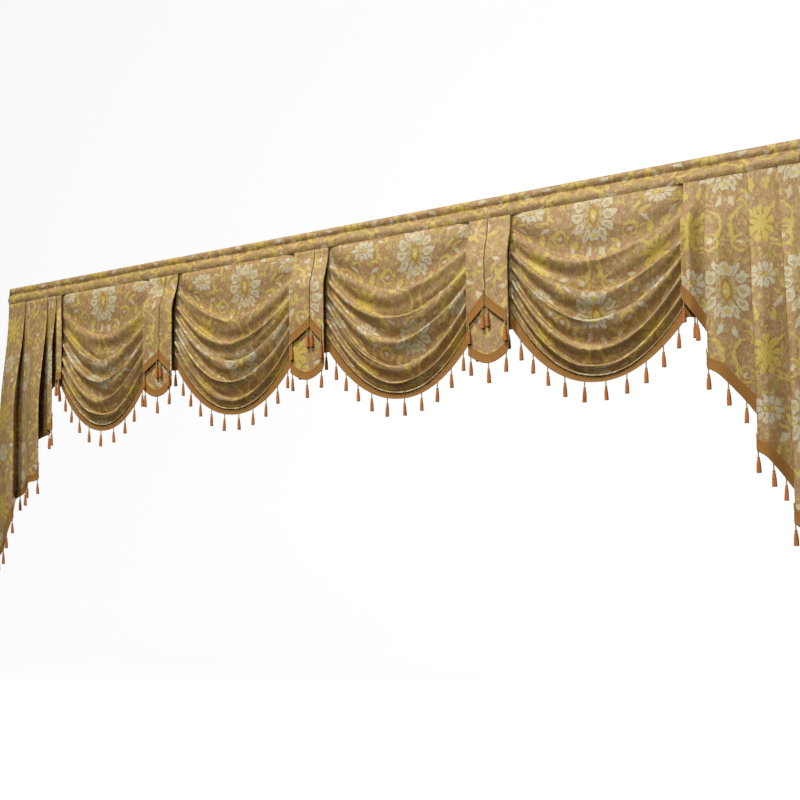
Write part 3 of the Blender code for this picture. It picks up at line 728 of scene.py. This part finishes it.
def swagRows(number):
    # control rows: heights left, low, right and depths in the middle and at the ends
    own = swags[number]
    top = valance["clothTop"]
    above = [*swagForm["panelTop"], *swagForm["belly"]]
    rows = [[top, top, top, *swagForm["topDepth"]], above]
    for fold, ends in zip(own["folds"], swagForm["endDepths"]):
        crest = [*fold[:3], fold[3], ends[1]]
        valley = [fold[4], ends[0]]
        for share, extra, forward in swagForm["path"]:
            heights = [between(a, b, share) + extra for a, b in zip(above[:3], crest[:3])]
            if forward > 2:
                start, parts = crest[3:], (forward - 2, forward - 2)
            else:
                # towards the ends the face drops sooner, so that the gaps there close in shadow
                start, parts = above[3:], (forward, forward ** swagForm["endDrop"])
            rows.append(heights + [between(*facts) for facts in zip(valley, start, parts)])
        rows.append(crest)
        above = crest
    rows.append([*own["hem"], swagForm["hemEnds"][0]])
    return np.array(rows)


def swagSurface(number, left, right):
    # Each row sags from its ends as 1 - |x|^power, and its depth goes from the middle's to the
    # ends' as |x|^steep, which is greatest at the top. Sines across and down make the crests
    # uneven and add minor folds. Past the opening the sheet is drawn back to lie behind the tab.
    # The last rows are a flat band that ends in the hem.
    own, form = swags[number], swagForm
    half = (right - left) / 2
    crowding = form["crowding"]
    spread = np.sin(np.linspace(-1, 1, form["columns"]) * crowding) / math.sin(crowding)
    across = spread * (1 + np.where(spread < 0, *own["tucked"]) / half)
    inner = np.clip(across, -1, 1)
    table = swagRows(number)
    at = np.linspace(0, len(table) - 2, (len(table) - 2) * form["stepsPerRow"] + 1)
    rows = np.concatenate([through(table[:-1], at), table[-1:]])
    share = np.concatenate([at / (len(table) - 1), [1.0]])[:, None]
    leftZ, lowZ, rightZ, mid, end = (rows[:, k:k + 1] for k in range(5))
    fade = 1 - inner ** 2
    bend = inner - own["shift"] / half * fade * share
    sag = 1 - np.abs(bend) ** between(*form["sag"], share)
    z = between(leftZ, rightZ, (inner + 1) / 2) + (lowZ - (leftZ + rightZ) / 2) * sag
    height, sines, when = form["unevenCrests"]
    z = z + height * waves(sines, across, share, number) * fade * window(share, *when)
    z = np.minimum(z, valance["clothTop"])

    isHem = (np.arange(len(end)) == len(end) - 1)[:, None]
    end = end + (form["hemEnds"][1] - form["hemEnds"][0]) * (inner > 0) * isHem
    low, more, fading = form["steep"]
    steep = low + more * (1 - smoothStep(share * fading))
    depth = between(mid, end, np.abs(inner) ** steep)
    height, sines, when = form["ripples"]
    depth = depth + height * waves(sines, across, share, number) * fade * window(share, *when)
    skew, skewRate = form["minorSkew"]
    turn = 2 * np.pi * np.arange(len(share))[:, None] / form["minorPeriod"]
    height, sines, when = form["minorFolds"]
    minor = np.sin(turn + skew * across * np.cos(share * skewRate + number))
    minor = minor * (0.5 + waves(sines, across, share, number))
    depth = depth + height * minor * fade * window(share, *when)

    behind = between(*form["tabBack"], leanAt(z, valance["leanHeight"])) - form["clearance"]
    depth = np.where(np.abs(across) >= form["behindFrom"], np.minimum(depth, behind), depth)
    tucked = smoothStep((np.abs(across) - 1) * half / form["tuckRun"])
    depth = np.maximum(between(depth, form["tuckDepth"], tucked), form["nearest"])
    points = np.stack([(left + right) / 2 + half * across + 0 * z, -depth, z], axis=-1)

    hem = points[-1]
    rise = np.minimum(bandRise(hem), points[-2][:, 2] - hem[:, 2] - form["underCrest"])
    shares = np.linspace(1, 0, form["bandRows"])
    band = hem[None] + (shares[:, None] * rise)[..., None] * upright
    joint = np.stack([points[-3], points[-2], band[0], band[1]])
    tuck = through(joint, np.linspace(*form["tuckRows"]))
    return np.concatenate([points[:-1], tuck, band]), hem, rise


def makeSwag(number, left, right):
    points, hem, rise = swagSurface(number, left, right)
    uv = drapedMap(points) + np.array(swags[number]["map"])
    sheet = makeCloth(f"swagCloth{number}", points, uv, f"swag_{number}")
    normals = gridNormals(points[-swagForm["bandRows"]:])[-1]
    hidden = swagForm["braidTucked"]
    shown = (hem[:, 0] > left - hidden) & (hem[:, 0] < right + hidden)
    trim = makeTrim(f"swagBraid{number}", hem[shown], rise[shown], normals[shown], braid["gap"],
                    f"swag_trim_{number}")
    cutWidth, cutLength = right - left + 0.17, 0.78
    0.80 * cutWidth * cutLength


tabs = {
    # the slit's place, then the heights of the flaps' hem at the slit and at the side, and of
    # the back layer's at the side and in the middle
    1: {"slit": 0.012, "front": -0.375, "side": -0.425, "under": -0.480, "back": -0.512,
        "map": (0.14, 0.10)},
    2: {"slit": 0.016, "front": -0.332, "side": -0.385, "under": -0.475, "back": -0.507,
        "map": (0.05, 0.27)},
    3: {"slit": -0.006, "front": -0.338, "side": -0.398, "under": -0.482, "back": -0.514,
        "map": (0.11, 0.02)},
}
tabForm = {
    "backTop": 0.0105, "frontTop": 0.0175, "back": 0.044, "front": 0.052, "slitWidth": 0.003,
    # along the strip from its middle, 0, to the flap's edge, 1: where the side fold begins and
    # ends, how much of the width it takes, where the hem steps, and how far the trims run
    "turn": (0.42, 0.58), "fold": 0.06, "hemTurn": (0.40, 0.60), "hemRun": 0.42,
    "flapPower": 0.9, "backPower": 1.8, "trimmed": (0.21, 0.29, 0.71),
    "crown": 0.0022, "soft": [(0.0010, 1.3, 38, 1)],
    "columns": 181, "rows": 70, "mapColumn": 24,
}


def tabSurface(number, centre):
    # Folded strip: from one flap's edge round its side fold, across the back and to the other
    # flap. Its depth goes from the back's to the front's by a smooth step and opens downwards.
    # The hem is highest at the slit and longest in the middle of the back layer, by powers.
    own, form = tabs[number], tabForm
    half = valance["tab"] / 2
    along = np.linspace(-1, 1, form["columns"])[None, :]
    side, front = np.sign(along), np.abs(along)
    begin, finish = form["turn"]
    turned = np.clip((front - begin) / (finish - begin), 0, 1)
    flat = (1 - form["fold"]) * half
    flap = half - side * own["slit"] - form["slitWidth"] / 2
    flapShare = np.clip((front - finish) / (1 - finish), 0, 1)
    backX = side * flat * np.clip(front / begin, 0, 1)
    frontX = side * (flat - flapShare * (flap - form["fold"] * half))
    localX = np.where(front < 0.5, backX, frontX) + side * np.sin(np.pi * turned) * half * form["fold"]

    toSlit, toMiddle = (np.clip(part / form["hemRun"], 0, 1) for part in (1 - front, front))
    flapHem = between(own["front"], own["side"], toSlit ** form["flapPower"])
    backHem = between(own["back"], own["under"], toMiddle ** form["backPower"])
    turnFrom, turnTo = form["hemTurn"]
    turnShare = smoothStep((front - turnFrom) / (turnTo - turnFrom))
    hem = np.where((front > turnFrom) & (front < turnTo), between(own["under"], own["side"], turnShare),
                   np.where(front > 0.5, flapHem, backHem))
    down, z = hungRows(hem, form["rows"])

    opened = leanAt(z, valance["standOff"])
    depth = between(between(form["backTop"], form["back"], opened),
                    between(form["frontTop"], form["front"], opened), smoothStep(turned))
    swell = (form["crown"] + waves(form["soft"], side, z, number)) * np.sin(np.pi * flapShare) * opened
    depth = depth + np.where(front > finish, swell, 0)
    return np.stack([centre + localX + 0 * z, -depth, z], axis=-1)


def makeTab(number, centre):
    points = tabSurface(number, centre)
    turned = points[:, ::-1]
    uv = hungMap(turned, tabForm["mapColumn"]) + np.array(tabs[number]["map"])
    sheet = makeCloth(f"tabCloth{number}", turned, uv, f"tab_{number}")
    columns = tabForm["columns"]
    flap, first, last = (int(share * (columns - 1)) for share in tabForm["trimmed"])
    picks = {"left": (np.arange(flap + 1)[::-1], braid["gap"]),
             "right": (np.arange(columns - flap - 1, columns)[::-1], braid["gap"]),
             "back": (np.arange(first, last + 1), valance["cloth"] + braid["gap"])}
    trims = [makeHemTrim(f"tabBraid{side.capitalize()}{number}", points, *pick,
                         f"tab_trim_{side}_{number}") for side, pick in picks.items()]


cascades = {
    # a line for each pleat: its fold, its belly, where it dips under the next, and its hidden
    # back turn, all in metres out from the seam, depth, and height of the hem
    "left": {"rows": [
        (-0.024, 0.038, -0.400), (-0.006, 0.045, -0.408), (0.008, 0.024, -0.417), (0.074, 0.012, -0.458),
        (0.008, 0.054, -0.588), (0.030, 0.057, -0.598), (0.058, 0.018, -0.611), (0.146, 0.012, -0.648),
        (0.062, 0.070, -0.780), (0.115, 0.071, -0.803), (0.190, 0.024, -0.839), (0.248, 0.014, -0.864),
        (0.206, 0.066, -0.930), (0.236, 0.071, -1.005), (0.266, 0.062, -1.068), (0.316, 0.042, -1.090)],
        "braided": (1.6, 2.2, 2.7, 3.0), "map": (0.02, 0.02)},
    "right": {"rows": [
        (-0.010, 0.038, -0.388), (0.014, 0.045, -0.425), (0.046, 0.018, -0.478), (0.084, 0.012, -0.532),
        (0.055, 0.054, -0.582), (0.092, 0.063, -0.617), (0.160, 0.026, -0.703), (0.198, 0.014, -0.775),
        (0.174, 0.060, -0.812), (0.202, 0.066, -0.841), (0.246, 0.030, -0.906), (0.280, 0.016, -0.965),
        (0.258, 0.058, -1.000), (0.278, 0.064, -1.028), (0.298, 0.054, -1.060), (0.318, 0.036, -1.090)],
        "braided": (2.5, 2.6, 2.6, 3.0), "map": (-0.019, 0.058)},
}
cascadeForm = {
    # depths where the pleats are pressed flat at the seam
    "face": 0.0185, "dip": 0.0155, "back": 0.0090,
    # the height over which a pleat opens grows by slower, from one table row over a run of rows
    "slower": 0.34, "slowerFrom": 2, "slowerRun": 7,
    "ripple": 0.0016, "sines": [(0.6, 2.9, 5, 0), (0.4, 6.1, -9, 0)], "calmHem": 4,
    "steps": 14, "rows": 110, "mapRow": 5,
}


def cascadeSurface(side):
    # Rows of the table are joined by a smooth curve; out and depth go by a smooth step from
    # pressed flat at the seam to open, and long soft sines run down the faces.
    table, form = cascades[side]["rows"], cascadeForm
    last = len(table) - 1
    along = np.linspace(0, last, last * form["steps"] + 1)[None, :]
    outLow, depthLow, hem = (through([row[k] for row in table], along) for k in range(3))
    outTop = (outLow - table[0][0]) / (table[-1][0] - table[0][0]) * valance["cascade"]
    pressed = [form[key] for key in ("face", "face", "dip", "back")] * 4
    pressed[-1] = form["dip"]
    depthTop = through(pressed, along)
    down, z = hungRows(hem, form["rows"])
    later = form["slower"] * smoothStep((along - form["slowerFrom"]) / form["slowerRun"])
    opened = leanAt(z, valance["standOff"] + later)
    out = between(outTop, outLow, opened)
    ripple = waves(form["sines"], along, z) * (1 - down.clip(0, 1) ** form["calmHem"])
    depth = between(depthTop, depthLow, opened) + form["ripple"] * ripple * opened
    seam = valance["width"] / 2 - valance["cascade"]
    facing = 1 if side == "right" else -1
    return np.stack([facing * (seam + out), -depth, z], axis=-1)[:, ::facing]


def makeCascade(side):
    points = cascadeSurface(side)
    own = cascades[side]
    steps = cascadeForm["steps"]
    lastColumn = points.shape[1] - 1
    centre = cascadeForm["mapRow"] * steps
    uv = hungMap(points, centre if side == "right" else lastColumn - centre) + np.array(own["map"])
    sheet = makeCloth(f"cascadeCloth{side.capitalize()}", points, uv, f"cascade_{side}")
    for pleat, letter in enumerate("abcd"):
        chosen = np.arange(4 * pleat * steps, int((4 * pleat + own["braided"][pleat]) * steps) + 1)
        if side == "left":
            chosen = lastColumn - chosen[::-1]
        makeHemTrim(f"cascadeBraid{side.capitalize()}{letter.upper()}", points, chosen,
                                 braid["gap"], f"cascade_trim_{side}_{letter}")


edgeX = -valance["width"] / 2 + valance["cascade"]
for number in swags:
    swagWidth = valance["firstSwag"] if number == 1 else valance["otherSwag"]
    makeSwag(number, edgeX, edgeX + swagWidth)
    edgeX += swagWidth
    if number in tabs:
        makeTab(number, edgeX + valance["tab"] / 2)
        edgeX += valance["tab"]
print("swags and tabs done")
for side in cascades:
    makeCascade(side)
print("cascades done")


studio = {
    "floorZ": -2.45, "width": 40.0, "near": -14.0, "wall": 9.0, "bend": 3.0, "height": 16.0,
    "bendRows": 24, "columns": 9,
    "paper": {"Base Color": (0.30, 0.30, 0.30, 1), "Roughness": 0.9,
              "Emission Color": (1, 1, 1, 1), "Emission Strength": 0.93},
    "sky": {"From Min": -0.6, "From Max": 0.9, "To Min": 0.02, "To Max": 0.20},
}
lights = {
    "key": {"at": (-0.5, -4.0, 4.6), "aim": (0.1, 0.0, -0.4), "size": 1.4, "power": 505.0},
    "fill": {"at": (1.9, -5.0, 0.9), "aim": (0.5, 0.0, -0.4), "size": 1.2, "power": 155.0},
    "behind": {"at": (-1.5, 5.0, 0.6), "aim": (0.0, 0.0, -0.4), "size": 2.5, "power": 330.0},
}
view = {"at": (1.7327, -2.7302, -1.0232), "yaw": 0.4956, "pitch": 0.0618, "roll": -0.0145,
        "focal": 972.1158, "centre": (391.0549, 473.3208), "frame": 800, "sensor": 36}


def makeSweep():
    # studio paper: a level floor that bends up as a quarter circle into a wall
    turn = np.linspace(0, np.pi / 2, studio["bendRows"])
    y = np.concatenate([[studio["near"]], studio["wall"] + studio["bend"] * (np.sin(turn) - 1),
                        [studio["wall"]]])
    z = np.concatenate([[0], studio["bend"] * (1 - np.cos(turn)), [studio["height"]]])
    x = np.linspace(-studio["width"] / 2, studio["width"] / 2, studio["columns"])
    verts = np.stack(np.broadcast_arrays(x[None], y[:, None], z[:, None] + studio["floorZ"]), axis=-1)
    i = np.arange(verts.shape[0] * studio["columns"]).reshape(-1, studio["columns"])
    mesh = bpy.data.meshes.new("studioSweep")
    mesh.from_pydata(verts.reshape(-1, 3).tolist(), [], gridQuads(i)[:, ::-1].tolist())
    mesh.shade_smooth()
    mesh.materials.append(plainMaterial("palePaper", studio["paper"])[0])
    sweep = placed("studioSweep", mesh)
    sweep.visible_diffuse = False  # the paper throws no light up into the folds
    sweep.visible_glossy = False


def makeSky():
    # soft ambient light, stronger from above than from below
    world = bpy.data.worlds.new("studio")
    world.use_nodes = True
    tree = world.node_tree
    place = tree.nodes.new("ShaderNodeTexCoord")
    split = tree.nodes.new("ShaderNodeSeparateXYZ")
    tree.links.new(place.outputs["Generated"], split.inputs[0])
    level = tree.nodes.new("ShaderNodeMapRange")
    for socket, value in studio["sky"].items():
        level.inputs[socket].default_value = value
    tree.links.new(split.outputs["Z"], level.inputs["Value"])
    tree.links.new(level.outputs[0], tree.nodes["Background"].inputs[1])
    bpy.context.scene.world = world


def turnedTo(item, right, up, back):  # the item's own x, y and z as unit vectors
    item.rotation_euler = Matrix(np.stack([right, up, back], axis=1).tolist()).to_euler()


def makeLight(name, facts):
    light = bpy.data.lights.new(name, "AREA")
    light.shape = "DISK"
    light.size = facts["size"]
    light.energy = facts["power"]
    lamp = placed(name, light)
    lamp.location = facts["at"]
    back = np.array(facts["at"]) - np.array(facts["aim"])
    back = back / np.linalg.norm(back)
    side = np.cross(upright, back)
    side /= np.linalg.norm(side)
    turnedTo(lamp, side, np.cross(back, side), back)


def makeCamera():
    # turned by yaw about the upright, tipped up by pitch, then rolled about its own view
    yaw, pitch, roll = view["yaw"], view["pitch"], view["roll"]
    right = np.array([math.cos(yaw), math.sin(yaw), 0])
    level = math.cos(pitch)
    ahead = np.array([-math.sin(yaw) * level, math.cos(yaw) * level, math.sin(pitch)])
    up = np.cross(right, ahead)
    lens = bpy.data.cameras.new("camera")
    lens.sensor_width = view["sensor"]
    lens.lens = view["sensor"] * view["focal"] / view["frame"]
    lens.shift_x = (view["frame"] / 2 - view["centre"][0]) / view["frame"]
    lens.shift_y = (view["centre"][1] - view["frame"] / 2) / view["frame"]
    camera = placed("camera", lens)
    camera.location = view["at"]
    turnedTo(camera, right * math.cos(roll) + up * math.sin(roll),
             -right * math.sin(roll) + up * math.cos(roll), -ahead)
    bpy.context.scene.camera = camera


makeSweep()
makeSky()
for name, facts in lights.items():
    makeLight(name, facts)
makeCamera()
bpy.context.scene.view_settings.view_transform = "Standard"
print("studio done")
